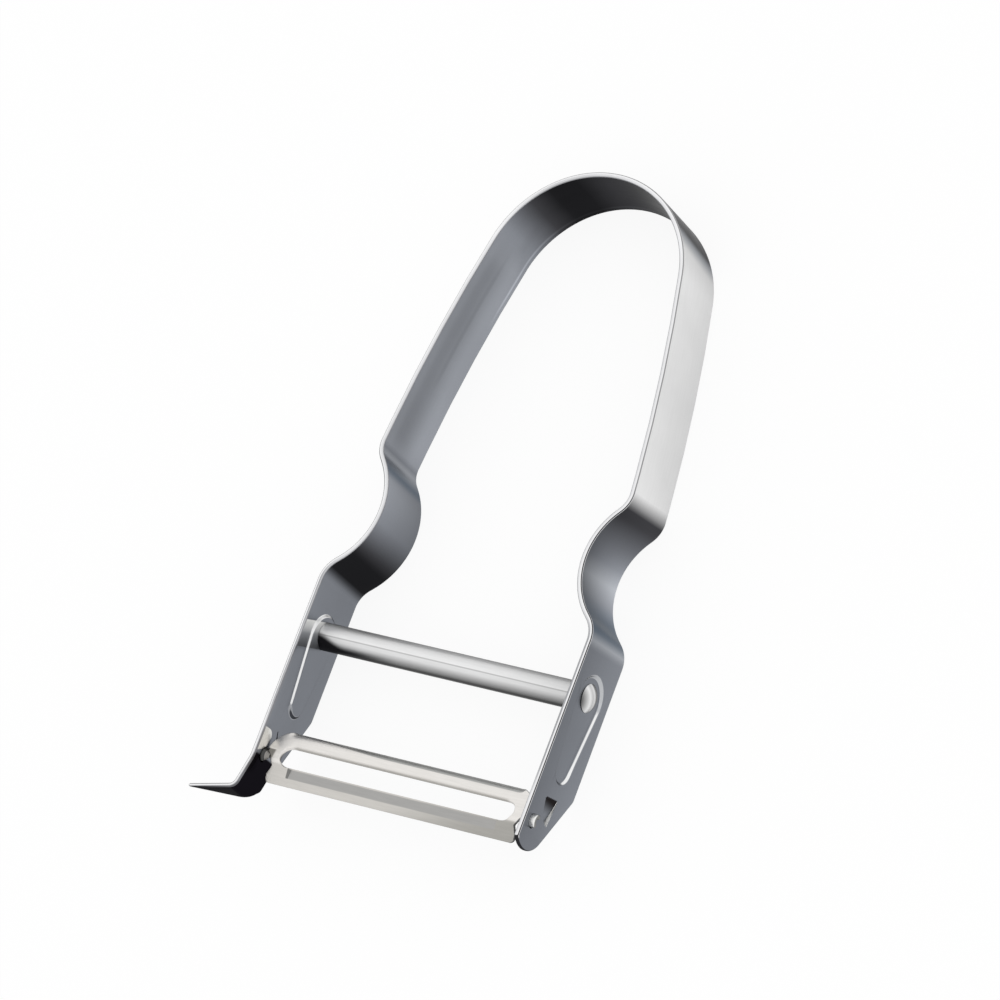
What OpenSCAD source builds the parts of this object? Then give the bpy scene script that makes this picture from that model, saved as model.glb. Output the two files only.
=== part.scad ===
// Vegetable peeler bent from one steel strip, with a swivelling slotted blade.
// Lengths are in millimetres. The peeler lies flat on the edges of its strip.
// X runs across, from the eye remover to the other leg. Y runs from the blade to the crown. Z is up.
// Inside the modules Y starts at the pivot line and X at the middle of the bow.

/* [Strip] */
// Width of the strip that the frame is bent from
strip_w = 12.5; // [11.5:0.5:14]
// Thickness of that strip
sheet_t = 0.8; // [0.7:0.05:1]

/* [Bow] */
// Distance from the pivot line to the start of the knee bend
leg_l = 28.4; // [27:0.5:36]
// Middle radius of the knee bend above each leg
knee_r = 4.8; // [3:0.1:7]
// Turn of the knee bend, inward
knee_turn = 45.9; // [40:0.1:50]
// Straight run between the knee and the waist
knee_run = 0.8; // [0.4:0.1:2]
// Middle radius of the finger waist
waist_r = 12.3; // [10:0.1:14]
// Direction of the strip as it leaves the waist, outward
waist_lean = 38.2; // [30:0.1:45]
// Straight run between the waist and the shoulder
waist_run = 0.8; // [0.5:0.1:3]
// Middle radius of the shoulder bend
shoulder_r = 4.2; // [3:0.1:7]
// Inward lean of the arm just past the shoulder
arm_lean = 5.6; // [3:0.1:8]
// Straight run at the start of the arm
arm_run = 3.1; // [1:0.1:8]
// Middle radius of the long gentle curve of the arm
arm_r = 269; // [200:1:400]
// Inward lean at the end of that curve
arm_end_lean = 12.6; // [11:0.1:16]
// Middle radius of the crown's sides
crown_side_r = 17.6; // [14:0.1:20]
// Inward lean where the sides pass into the top of the crown
crown_lean = 55; // [40:0.5:55]

/* [Leg ends] */
// Distance from the pivot line to where the plain leg's slanted rear edge starts
slant_start = 6.6; // [6:0.1:8]
// Angle of that slanted edge to the leg
slant_angle = 31; // [28:0.5:33]
// Radius of the rounded end of the plain leg
end_r = 4.8; // [4.3:0.1:5.2]
// Depth of the middle of that rounding below the strip's upper edge
end_depth = 3.15; // [2.5:0.05:3.5]

/* [Bosses] */
// Depth to which each boss is pressed inward
boss_depth = 0.4; // [0.3:0.05:0.5]
// Run of the boss's sloped wall
boss_wall = 0.35; // [0.25:0.05:0.5]
// Distance by which the recess behind the boss is wider than the boss all round
recess_wider = 0.25; // [0:0.05:0.3]
// Radius of the boss's wide end
boss_wide_r = 3.85; // [3.4:0.05:4.3]
// Distance from the pivot line to the middle of the wide end
boss_wide_y = 20.8; // [19:0.1:23]
// Radius of the boss's narrow end
boss_slim_r = 2.2; // [1.6:0.05:2.6]
// Distance from the pivot line to the middle of the narrow end
boss_slim_y = 9.65; // [9:0.05:12]

/* [Crossbar and rivets] */
// Diameter of the crossbar
bar_d = 4.4; // [3.6:0.1:5.4]
// Distance from the pivot line to the crossbar
bar_y = 21.3; // [20:0.1:23]
// Diameter of the rivet shanks
shank_d = 2.6; // [2:0.1:3]
// Length of each shank inside the crossbar
shank_grip = 5.5; // [3:0.5:10]
// Extra depth of the crossbar's bores past the shanks
bore_spare = 0.5; // [0.2:0.1:2]
// Radial clearance round the shanks
shank_clear = 0.02; // [0.01:0.01:0.05]
// Diameter of the domed rivet heads
head_d = 4.5; // [3.8:0.1:5.4]
// Height of the domed rivet heads
head_h = 1.1; // [0.7:0.1:1.6]

/* [Pivot and stops] */
// Depth of the pivot line below the strip's upper edge
pivot_depth = 2.6; // [2.3:0.1:3.1]
// Outer radius of the blade's half-round tangs
tang_r = 1.1; // [1:0.05:1.25]
// Radial clearance of the tangs in the leg holes
tang_clear = 0.06; // [0.02:0.01:0.1]
// Swing of the blade to each side of its rest pose
swing = 40; // [25:1:50]
// Angle left between tang and stop at the end of the swing
stop_margin = 0.5; // [0.3:0.1:1]
// Radius at which the stop ends, short of the pivot line
stop_tip_r = 0.45; // [0.4:0.05:0.5]

/* [Lance behind the pivot] */
// Distance from the pivot line to the front end of the lance's fold
lance_front_y = 4.4; // [4:0.1:5]
// Distance behind the pivot line of that end
lance_front_z = 1.4; // [1.2:0.1:2]
// Distance from the pivot line to the rear end of the fold
lance_rear_y = 4.9; // [4.2:0.1:5.2]
// Distance behind the pivot line of that end
lance_rear_z = 5.0; // [4.4:0.1:5.5]
// Distance from the pivot line to the lance's lower rear corner
lance_low_y = 0.7; // [0.5:0.1:1]
// Distance behind the pivot line of that corner
lance_low_z = 4.4; // [4:0.1:4.6]
// Distance from the pivot line to the lance's corner beside the hole
lance_hole_y = 1.5; // [1.3:0.1:2]
// Distance behind the pivot line of that corner
lance_hole_z = 2.5; // [2.4:0.1:3]
// Angle to which the lance is bent inward
lance_angle = 8; // [5:0.5:9]
// Gap sheared round the lance
lance_gap = 0.12; // [0.08:0.02:0.2]

/* [Eye remover] */
// Distance from the pivot line to where the left leg's slanted rear edge starts
left_slant_start = 9; // [8:0.1:9.5]
// Angle of that slanted edge to the leg
left_slant_angle = 25; // [23:0.5:26]
// Height of the heel at which the slanted edge ends
heel_z = 5.5; // [5.3:0.1:5.8]
// Length of the heel
heel_run = 2; // [1:0.1:2.2]
// Rise of the rear edge from the heel to the tongue's bend
heel_rise = 0.7; // [0.2:0.1:1]
// Width of the tongue where it leaves its bend
tongue_w = 4.5; // [4:0.1:5]
// Distance past the pivot line where the left leg's end starts to lean outward
flare_start = 0.4; // [0.2:0.1:0.6]
// Middle radius of that bend
flare_r = 6; // [4:0.5:8]
// Outward lean of the leg's end
flare_turn = 12; // [6:0.5:14]
// Straight run from there to the tongue's bend
flare_run = 3.8; // [3:0.1:5]
// Middle radius of the tongue's bend
bend_r = 1.5; // [1.2:0.1:2.2]
// Outward lean of the tongue
bend_turn = 76.8; // [65:0.1:88]
// Length of the pointed tongue past the bend
tongue_l = 6.8; // [6:0.1:10]
// Width left at the tongue's point
point_w = 0.5; // [0.3:0.1:0.8]
// Thickness left at the tongue's point
point_t = 0.45; // [0.3:0.05:0.6]
// Length over which the underside is ground thin towards the point
ground_l = 4.5; // [2:0.5:6]

/* [Blade] */
// Overall length of the blade between its tangs
blade_l = 46.8; // [43.7:0.1:55]
// Clearance between each end of the blade and the leg beside it
blade_side_gap = 0.15; // [0.05:0.05:0.4]
// Thickness of the blade's sheet
blade_t = 0.7; // [0.5:0.05:0.8]
// Backward lean of the guard side of the blade in its rest pose
guard_lean = 15; // [10:1:20]
// Lean of the cutting side in its rest pose
cutter_lean = 13; // [8:1:18]
// Distance of the crease between both sides, past the pivot line
crease_y = 0.4; // [0.2:0.05:0.6]
// Reach of the flat of the guard, from the pivot line
guard_flat = 3.55; // [3:0.05:4]
// Outer radius of the guard's curled back edge
curl_r = 2.2; // [1.8:0.1:2.8]
// Turn of the curled back edge
curl_turn = 50; // [35:1:65]
// Distance from each end of the blade to the start of the curl
curl_inset = 2.7; // [2:0.1:4]
// Gap sheared between the curl and the flat ends
curl_slit = 0.2; // [0.1:0.05:0.4]
// Radius of the guard's outer corners
guard_corner_r = 3.9; // [3:0.1:4.2]
// Reach of the guard's corners, from the pivot line
guard_reach = 4.9; // [4.6:0.1:5.4]
// Reach of the cutting side, past the pivot line
cutter_reach = 3.9; // [3.4:0.1:4.4]
// Distance from each end of the blade to the end of the cutting side
cutter_inset = 1.2; // [0.8:0.1:1.6]
// Radius of the cutting side's lower corners
cutter_corner_r = 0.8; // [0.4:0.1:1.5]
// Depth of the relief notch below each tang, from the end of the blade
notch_depth = 1.8; // [1.4:0.1:2]
// Distance of the notch's upper side above the pivot line
notch_top = 0.15; // [0.1:0.05:0.3]
// Distance of the notch's root past the pivot line
notch_root = 1.25; // [1:0.05:1.5]
// Distance past the pivot line where the notch meets the cutting side's end
notch_low = 2.6; // [2.2:0.1:2.8]
// Reach of the slot above the pivot line
slot_top = 2.2; // [1.8:0.1:2.4]
// Distance of the cutting edge past the pivot line
edge_y = 1.04; // [0.8:0.02:1.2]
// Distance from each end of the blade to the slot
slot_inset = 2.7; // [2:0.1:4]
// Width of the ground bevel on the cutting side
bevel_w = 1.64; // [1.2:0.02:2]
// Distance from each end of the blade to the bevel
bevel_inset = 4.8; // [4:0.1:6]
// Reach of the tangs past the outer faces of the legs
tang_proud = 0.9; // [0.4:0.1:1.5]
// Length of the cone by which each tang grows out of the blade
tang_root_l = 0.9; // [0.5:0.1:1.2]

/* [Hidden] */
$fn = 96;
// One overrun for every cut
over = 1;
straight = 90;
half_turn = 180;
// Each bend is thinner than its neighbours by this much on both faces and runs on into them, so that they join
seam = 0.005;
// The strip is drawn past both its edges and trimmed once, at the end
tall = strip_w + 2 * over;

// Middle line of the bow, from the leg to the crown, by its bends
leg_gap = blade_l + 2 * blade_side_gap;
leg_x = leg_gap / 2 + sheet_t / 2;
leg_in = leg_gap / 2;
leg_out = leg_gap / 2 + sheet_t;
function turned(c, r, a) = [c[0] + r * cos(a), c[1] + r * sin(a)];
function moved(p, run, lean) = [p[0] - run * sin(lean), p[1] + run * cos(lean)];
knee_c = [leg_x - knee_r, leg_l];
waist_in = moved(turned(knee_c, knee_r, knee_turn), knee_run, knee_turn);
waist_c = turned(waist_in, waist_r, knee_turn);
waist_end = turned(waist_c, waist_r, half_turn - waist_lean);
shoulder_in = moved(waist_end, waist_run, -waist_lean);
shoulder_c = turned(shoulder_in, -shoulder_r, -waist_lean);
arm_in = turned(shoulder_c, shoulder_r, arm_lean);
arm_start = moved(arm_in, arm_run, arm_lean);
arm_c = turned(arm_start, -arm_r, arm_lean);
side_in = turned(arm_c, arm_r, arm_end_lean);
side_c = turned(side_in, -crown_side_r, arm_end_lean);
crown_in = turned(side_c, crown_side_r, crown_lean);
// The crown's top radius closes the bow on its middle line
crown_r = crown_in[0] / cos(crown_lean);
crown_c = turned(crown_in, -crown_r, crown_lean);
bow_top = crown_c[1] + crown_r + sheet_t / 2 - seam;

// Leg ends
end_z = strip_w - end_depth;
end_y = slant_start + (end_r - end_z * cos(slant_angle)) / sin(slant_angle);
end_touch = [end_y - end_r * sin(slant_angle), end_z - end_r * cos(slant_angle)];

// Bosses
mid_z = strip_w / 2;
boss_run = boss_wide_y - boss_slim_y;
boss_slope = asin((boss_wide_r - boss_slim_r) / boss_run);

// Pivot
pivot_z = strip_w - pivot_depth;
hole_r = tang_r + tang_clear;
stop_half = straight - swing - stop_margin;

// Lance: the ends of its fold, its free corners, and the directions along the fold and away from it
lance_front = [lance_front_y, pivot_z - lance_front_z];
lance_rear = [lance_rear_y, pivot_z - lance_rear_z];
lance_low = [lance_low_y, pivot_z - lance_low_z];
lance_hole = [lance_hole_y, pivot_z - lance_hole_z];
lance_u = (lance_rear - lance_front) / norm(lance_rear - lance_front);
lance_v = [lance_u[1], -lance_u[0]];
lance_tilt = atan2(lance_u[1], lance_u[0]);

// Crossbar and rivets
bar_l = leg_gap - 2 * boss_depth;
bore_r = shank_d / 2 + shank_clear;
seat_x = leg_out - boss_depth;
shank_l = seat_x - bar_l / 2 + shank_grip;
dome_r = (head_d * head_d / 4 + head_h * head_h) / (2 * head_h);

// Eye remover, by the bends of its middle line
function dropped(p, run, lean) = [p[0] - run * sin(lean), p[1] - run * cos(lean)];
flare_c = [-leg_x - flare_r, -flare_start];
flare_end = turned(flare_c, flare_r, -flare_turn);
bend_in = dropped(flare_end, flare_run, flare_turn);
bend_c = turned(bend_in, -bend_r, -flare_turn);
bend_out = turned(bend_c, bend_r, -bend_turn);
point = dropped(bend_out, tongue_l, bend_turn);
point_x = point[0] - sheet_t / 2 * cos(bend_turn);
point_y = point[1] - (point_t - sheet_t / 2) * sin(bend_turn);
ground_angle = atan((sheet_t - point_t) / ground_l);
bend_chord = 2 * bend_r * sin((bend_turn - flare_turn) / 2);
left_rise = tan(left_slant_angle);
tongue_root_z = strip_w - tongue_w;
heel_y = left_slant_start - heel_z / left_rise;
bend_in_z = heel_z + heel_rise;

// Blade profile, seen along X, with the pivot line at its origin
crease = [-crease_y, blade_t / 2];
blade_half = blade_l / 2;
guard_end = [guard_flat, crease[1] - (guard_flat + crease_y) * tan(guard_lean)];
curl_c = [guard_end[0] - curl_r * sin(guard_lean), guard_end[1] - curl_r * cos(guard_lean)];
cutter_end = [-cutter_reach, crease[1] - (cutter_reach - crease_y) * tan(cutter_lean)];
fold_back = blade_t / cos((guard_lean + cutter_lean) / 2);
fold_dir = (guard_lean - cutter_lean) / 2;
crease_back = [crease[0] - fold_back * sin(fold_dir), crease[1] - fold_back * cos(fold_dir)];
edge_front_y = -edge_y - blade_t * sin(cutter_lean);
edge_z = crease[1] + (edge_front_y + crease_y) * tan(cutter_lean) - blade_t * cos(cutter_lean);
edge = [-edge_y, edge_z];
bevel_low_y = -edge_y - bevel_w;
bevel_low = [bevel_low_y, crease[1] + (bevel_low_y + crease_y) * tan(cutter_lean)];
slot_r = (slot_top + edge_y) / 2;
slot_mid = (slot_top - edge_y) / 2;
slot_half = blade_half - slot_inset;
tang_end = leg_out + tang_proud;
tang_start = blade_half - tang_root_l;
tang_in_r = tang_r - blade_t;

// Box of the whole part, from which the frame is set
top_x = max(tang_end, seat_x + head_h);
mid_x = (top_x + point_x) / 2;
mid_y = (bow_top + point_y) / 2;

module placed() {
    translate([-mid_x, -mid_y, 0])
        children();
}

// Turns a drawing of Y and Z into a plate of thickness t that starts at x
module plate_at(x, t) {
    translate([x, 0, 0])
        rotate([straight, 0, straight])
            linear_extrude(t)
                children();
}

// A bend of the strip round centre c, middle radius r, from angle a over a turn. It is thinner by some seams
// and runs on past its first and last angle where first and last are 1
module bend(c, r, a, turn, seams = 1, first = 1, last = 1) {
    lap = sqrt(seam / r) * half_turn / PI;
    thin_t = sheet_t - 2 * seams * seam;
    translate([c[0], c[1], -over])
        rotate(a - first * lap)
            rotate_extrude(angle = turn + (first + last) * lap)
                translate([r - thin_t / 2, 0])
                    square([thin_t, tall]);
}

// A straight of the strip from point p
module run_of_strip(p, run, lean) {
    translate([p[0], p[1], -over])
        rotate(lean)
            translate([-sheet_t / 2, 0, 0])
                cube([sheet_t, run, tall]);
}

// One side of the bow, from the knee to the top of its side
module bow_side() {
    bend(knee_c, knee_r, 0, knee_turn);
    run_of_strip(turned(knee_c, knee_r, knee_turn), knee_run, knee_turn);
    bend(waist_c, waist_r, half_turn - waist_lean, knee_turn + waist_lean);
    run_of_strip(waist_end, waist_run, -waist_lean);
    bend(shoulder_c, shoulder_r, -waist_lean, waist_lean + arm_lean);
    run_of_strip(arm_in, arm_run, arm_lean);
    bend(arm_c, arm_r, arm_lean, arm_end_lean - arm_lean, 1, 1, 0);
    bend(side_c, crown_side_r, arm_end_lean, crown_lean - arm_end_lean, 2);
}

module leg_plain_side() {
    polygon([
        [leg_l, -over],
        [slant_start + over / tan(slant_angle), -over],
        end_touch,
        [end_y, end_z],
        [end_y, strip_w + over],
        [leg_l, strip_w + over]
    ]);
    translate([end_y, end_z])
        circle(end_r);
}

// What lies below the left leg's slanted rear edge and its heel
module left_rear_side() {
    polygon([
        [left_slant_start + over / left_rise, -over],
        [heel_y, heel_z],
        [heel_y - heel_run, heel_z],
        [bend_in[1], bend_in_z],
        [bend_in[1] - over, bend_in_z],
        [bend_in[1] - over, -over]
    ]);
}

// A boss with sloped walls on the plane X = 0, larger all round by more
module boss_form(more) {
    wide = boss_wide_r + more;
    slim = boss_slim_r + more;
    core_wide = wide - 2 * boss_wall;
    core_slim = slim - 2 * boss_wall;
    translate([0, boss_slim_y, mid_z])
        rotate([straight, 0, straight]) {
            cylinder(h = boss_depth, r1 = slim, r2 = slim - boss_wall);
            translate([boss_run, 0, 0])
                cylinder(h = boss_depth, r1 = wide, r2 = wide - boss_wall);
            linear_extrude(boss_depth)
                polygon([
                    turned([0, 0], core_slim, straight + boss_slope),
                    turned([boss_run, 0], core_wide, straight + boss_slope),
                    turned([boss_run, 0], core_wide, -straight - boss_slope),
                    turned([0, 0], core_slim, -straight - boss_slope)
                ]);
            boss_flank(slim);
            mirror([0, 1, 0])
                boss_flank(slim);
        }
}

// One sloped flank of the boss, along the line that touches both rounded ends
module boss_flank(slim) {
    rotate(boss_slope)
        translate([0, slim, 0])
            rotate([straight, 0, straight])
                linear_extrude(boss_run * cos(boss_slope))
                    polygon([
                        [0, 0],
                        [-boss_wall, boss_depth],
                        [-3 * boss_wall, boss_depth],
                        [-3 * boss_wall, 0]
                    ]);
}

// The stop: a wedge of sheet that reaches into the rear of the pivot hole
module stop_wedge() {
    difference() {
        polygon([
            [0, pivot_z],
            turned([0, pivot_z], 2 * hole_r, -straight - guard_lean - stop_half),
            turned([0, pivot_z], 2 * hole_r, -straight - guard_lean),
            turned([0, pivot_z], 2 * hole_r, -straight - guard_lean + stop_half)
        ]);
        translate([0, pivot_z])
            circle(stop_tip_r);
    }
}

module pivot_opening() {
    difference() {
        translate([0, pivot_z])
            circle(hole_r);
        stop_wedge();
    }
}

// The lance, folded inward about its upper side; side is 1 on the right leg and -1 on the left
module lance_tab(side) {
    translate([side > 0 ? leg_out : -leg_out, lance_front[0], lance_front[1]])
        rotate([lance_tilt, 0, 0])
            rotate([0, side * lance_angle, 0])
                rotate([-lance_tilt, 0, 0])
                    translate([side > 0 ? -sheet_t : 0, -lance_front[0], -lance_front[1]])
                        plate_at(0, sheet_t)
                            polygon([lance_front, lance_rear, lance_low, lance_hole]);
}

module lance_outline() {
    polygon([
        lance_front - lance_gap * lance_u,
        lance_rear + lance_gap * lance_u,
        lance_low + lance_gap * (lance_u + lance_v),
        lance_hole + lance_gap * (lance_v - lance_u)
    ]);
}

module leg_right() {
    difference() {
        union() {
            plate_at(leg_in, sheet_t)
                leg_plain_side();
            translate([leg_in, 0, 0])
                mirror([1, 0, 0])
                    boss_form(0);
        }
        leg_cuts();
    }
}

// What is cut from both legs, as it lies on the right one
module leg_cuts() {
    translate([leg_out, 0, 0])
        mirror([1, 0, 0])
            boss_form(recess_wider);
    plate_at(leg_in - over, sheet_t + 2 * over) {
        pivot_opening();
        lance_outline();
        translate([bar_y, mid_z])
            circle(bore_r);
    }
}

// What lies below the slanted edge along one stretch of the tongue
module slant_cut(p, lean, low_z, high_z, run) {
    rise = (high_z - low_z) / run;
    translate([p[0], p[1], 0])
        rotate(-lean)
            plate_at(-3 * sheet_t, 6 * sheet_t)
                polygon([
                    [sheet_t / 2, -over],
                    [sheet_t / 2, low_z - rise * sheet_t / 2],
                    [-run - sheet_t / 2, high_z + rise * sheet_t / 2],
                    [-run - sheet_t / 2, -over]
                ]);
}

// The left leg, with its end bent outward and cut to a point at the front edge
module leg_left() {
    difference() {
        union() {
            difference() {
                union() {
                    translate([-leg_out, -flare_start, -over])
                        cube([sheet_t, leg_l + flare_start, tall]);
                    bend(flare_c, flare_r, -flare_turn, flare_turn);
                    run_of_strip(bend_in, flare_run, -flare_turn);
                }
                plate_at(bend_in[0] - sheet_t, leg_out)
                    left_rear_side();
            }
            translate([-leg_in, 0, 0])
                boss_form(0);
            difference() {
                bend(bend_c, bend_r, -bend_turn, bend_turn - flare_turn);
                slant_cut(bend_in, (flare_turn + bend_turn) / 2, bend_in_z, tongue_root_z, bend_chord);
            }
            difference() {
                run_of_strip(point, tongue_l, -bend_turn);
                slant_cut(bend_out, bend_turn, tongue_root_z, strip_w - point_w, tongue_l);
                translate([bend_out[0], bend_out[1], 0])
                    rotate(-bend_turn)
                        translate([sheet_t / 2, ground_l - tongue_l, -over])
                            rotate(-ground_angle)
                                translate([0, -2 * ground_l, 0])
                                    cube([sheet_t, 2 * ground_l, tall]);
            }
        }
        mirror([1, 0, 0])
            leg_cuts();
    }
}

module frame() {
    color("LightSlateGray")
        placed()
            intersection() {
                union() {
                    bow_side();
                    mirror([1, 0, 0])
                        bow_side();
                    bend(crown_c, crown_r, crown_lean, half_turn - 2 * crown_lean, 1, 0, 0);
                    leg_right();
                    lance_tab(1);
                    leg_left();
                    lance_tab(-1);
                }
                translate([point_x - over, point_y - over, 0])
                    cube([leg_out - point_x + 2 * over, bow_top - point_y + 2 * over, strip_w]);
            }
}

module crossbar() {
    color("Silver")
        placed()
            translate([-bar_l / 2, bar_y, mid_z])
                rotate([0, straight, 0])
                    difference() {
                        cylinder(h = bar_l, d = bar_d);
                        translate([0, 0, -over])
                            cylinder(h = shank_grip + bore_spare + over, r = bore_r);
                        translate([0, 0, bar_l - shank_grip - bore_spare])
                            cylinder(h = shank_grip + bore_spare + over, r = bore_r);
                    }
}

// A rivet along Z, with its head's seat at the origin and the head above it
module rivet() {
    translate([0, 0, -shank_l])
        cylinder(h = shank_l + head_h / 2, d = shank_d);
    intersection() {
        translate([0, 0, head_h - dome_r])
            sphere(dome_r);
        cylinder(h = head_h + over, d = head_d + over);
    }
}

module rivet_right() {
    color("Gainsboro")
        placed()
            translate([seat_x, bar_y, mid_z])
                rotate([0, straight, 0])
                    rivet();
}

module rivet_left() {
    color("Gainsboro")
        placed()
            translate([-seat_x, bar_y, mid_z])
                rotate([0, -straight, 0])
                    rivet();
}

// The sheet of the blade between its ends: two flats that meet in the crease
module blade_section() {
    polygon([
        crease,
        cutter_end,
        [cutter_end[0] + blade_t * sin(cutter_lean), cutter_end[1] - blade_t * cos(cutter_lean)],
        crease_back,
        guard_back(guard_reach),
        guard_front(guard_reach)
    ]);
}

function guard_front(y) = [y, crease[1] - (y + crease_y) * tan(guard_lean)];
function guard_back(y) = [y - blade_t * sin(guard_lean), guard_front(y)[1] - blade_t * cos(guard_lean)];

// The curl of the guard, a ring sector that runs on from its flat
module curl_section() {
    lap = sqrt(seam / (curl_r - blade_t)) * half_turn / PI;
    from = straight - guard_lean + lap;
    to = straight - guard_lean - curl_turn;
    intersection() {
        translate(curl_c)
            difference() {
                circle(curl_r - seam);
                circle(curl_r - blade_t + seam);
            }
        polygon([
            curl_c,
            turned(curl_c, 2 * curl_r, to),
            turned(curl_c, 2 * curl_r, (from + to) / 2),
            turned(curl_c, 2 * curl_r, from)
        ]);
    }
}

// Outline of the blade seen from the front
module blade_outline() {
    corner_x = blade_half - guard_corner_r;
    corner_y = guard_reach - guard_corner_r;
    low_x = blade_half - cutter_inset - cutter_corner_r;
    low_y = cutter_corner_r - cutter_reach;
    difference() {
        union() {
            for (s = [-1, 1])
                translate([s * corner_x, corner_y])
                    circle(guard_corner_r);
            translate([-corner_x, 0])
                square([2 * corner_x, guard_reach]);
            translate([-blade_half, -crease_y])
                square([2 * blade_half, corner_y + crease_y]);
            translate([cutter_inset - blade_half, low_y])
                square([2 * (blade_half - cutter_inset), -low_y]);
            translate([-low_x, -cutter_reach])
                square([2 * low_x, cutter_reach]);
            for (s = [-1, 1])
                translate([s * low_x, low_y])
                    circle(cutter_corner_r);
        }
        notch_outline();
        mirror([1, 0])
            notch_outline();
    }
}

// The relief notch below the right tang
module notch_outline() {
    polygon([
        [blade_half, notch_top],
        [blade_half - notch_depth / 2, notch_top],
        [blade_half - notch_depth, -notch_root],
        [blade_half - cutter_inset, -notch_low],
        [blade_half, -notch_low]
    ]);
}

module slot_outline() {
    translate([slot_r - slot_half, -edge_y])
        square([2 * (slot_half - slot_r), slot_top + edge_y]);
    for (s = [-1, 1])
        translate([s * (slot_half - slot_r), slot_mid])
            circle(slot_r);
}

module tang() {
    difference() {
        tang_whole();
        translate([0, 0, -strip_w])
            linear_extrude(2 * strip_w)
                notch_outline();
    }
}

module tang_whole() {
    intersection() {
        rotate([0, straight, 0])
            rotate_extrude()
                polygon([
                    [0, tang_start],
                    [tang_in_r, tang_start],
                    [tang_r, blade_half],
                    [tang_r, tang_end],
                    [tang_in_r, tang_end],
                    [tang_in_r, blade_half],
                    [0, blade_half]
                ]);
        rotate([-guard_lean, 0, 0])
            translate([tang_start - over, -2 * tang_r, 0])
                cube([tang_end - tang_start + 2 * over, 4 * tang_r, 2 * tang_r]);
    }
}

module blade() {
    color("WhiteSmoke")
        placed()
            translate([0, 0, pivot_z])
                union() {
                    difference() {
                        intersection() {
                            plate_at(-blade_half, blade_l)
                                blade_section();
                            translate([0, 0, -strip_w])
                                linear_extrude(2 * strip_w)
                                    blade_outline();
                        }
                        translate([0, 0, -strip_w])
                            linear_extrude(2 * strip_w)
                                slot_outline();
                        plate_at(bevel_inset - blade_half, blade_l - 2 * bevel_inset)
                            polygon([
                                bevel_low,
                                edge,
                                [edge[0] + over, edge[1]],
                                [edge[0] + over, blade_t],
                                [bevel_low[0], blade_t]
                            ]);
                        plate_at(curl_inset - blade_half, blade_l - 2 * curl_inset)
                            polygon([
                                guard_front(guard_flat),
                                guard_back(guard_flat),
                                [guard_reach + over, guard_back(guard_reach)[1] - over],
                                [guard_reach + over, guard_front(guard_flat)[1] + over]
                            ]);
                    }
                    plate_at(curl_inset + curl_slit - blade_half, blade_l - 2 * curl_inset - 2 * curl_slit)
                        curl_section();
                    tang();
                    mirror([1, 0, 0])
                        tang();
                }
}

frame();
crossbar();
rivet_right();
rivet_left();
blade();
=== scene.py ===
"""The looks of a vegetable peeler bent from one steel strip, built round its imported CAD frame."""
from math import acos, ceil, cos, degrees, pi, radians, sin, tan

import bmesh
import bpy
from mathutils import Matrix, Vector


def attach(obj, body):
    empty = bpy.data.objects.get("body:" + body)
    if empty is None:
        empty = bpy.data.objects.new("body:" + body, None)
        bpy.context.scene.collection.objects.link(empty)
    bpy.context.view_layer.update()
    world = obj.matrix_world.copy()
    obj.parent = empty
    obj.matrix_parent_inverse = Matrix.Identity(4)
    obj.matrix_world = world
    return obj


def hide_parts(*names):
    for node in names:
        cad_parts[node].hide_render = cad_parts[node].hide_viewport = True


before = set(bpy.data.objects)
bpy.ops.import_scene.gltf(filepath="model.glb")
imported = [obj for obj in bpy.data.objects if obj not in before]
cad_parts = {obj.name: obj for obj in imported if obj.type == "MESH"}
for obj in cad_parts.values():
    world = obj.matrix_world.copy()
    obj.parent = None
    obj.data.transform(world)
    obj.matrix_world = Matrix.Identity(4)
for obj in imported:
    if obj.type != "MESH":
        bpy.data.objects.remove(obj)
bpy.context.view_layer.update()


# Camera. It stands where a fit of the photograph puts it: far off, to the lower right, looking well down,
# with a lens nearly seven times as long as the picture is wide.
right = Vector((0.851165, 0.342279, -0.397949))
up = Vector((-0.187535, 0.906407, 0.378494))
back = right.cross(up).normalized()
up = back.cross(right).normalized()
stand = Matrix.Translation((0.519215, -0.259897, 0.889426))
camera = bpy.data.objects.new("camera", bpy.data.cameras.new("camera"))
camera.matrix_world = stand @ Matrix((right, up, back)).transposed().to_4x4()
camera.data.sensor_width = 36
camera.data.lens = 36 * 6.91231
camera.data.clip_end = 5
bpy.context.scene.collection.objects.link(camera)
bpy.context.scene.camera = camera


# Strip. The bow is one length of bright stainless strip, sheared and bent: crown, arms, finger waists and legs.
# Each leg has a boss pressed inward, a pivot hole and a stop lanced beside it, and the left one runs out into
# the eye remover. Here a strip section is swept for the bow, and the legs are flat blanks that are bent last.

# Millimetres, in the frame of the part's source, where Y starts at the pivot line and X at the bow's middle.
bow_x, pivot_y = 3.72878, -46.9409  # where those two lie in the shared frame
strip_w, half_t, rim_r = 12.5, 0.4, 0.27  # width, half the thickness, rounding of the sheared rims
mid_h = strip_w / 2
leg_x, joint_v = 23.95, 26.5  # the legs' middle plane, and where they join the bow
bar_y = 21.3  # the crossbar's line
pivot_z, tilt = 9.9, radians(15)  # the pivots' height, and how far the blade leans back
boss_depth = 0.4


def spread(a, b, steps):
    return [a + (b - a) * k / steps for k in range(steps + 1)]


def arc(a, b, r, start, end, steps):
    """Points along part of a circle round (a, b)."""
    return [(a + r * cos(t), b + r * sin(t)) for t in spread(start, end, steps)]


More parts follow.
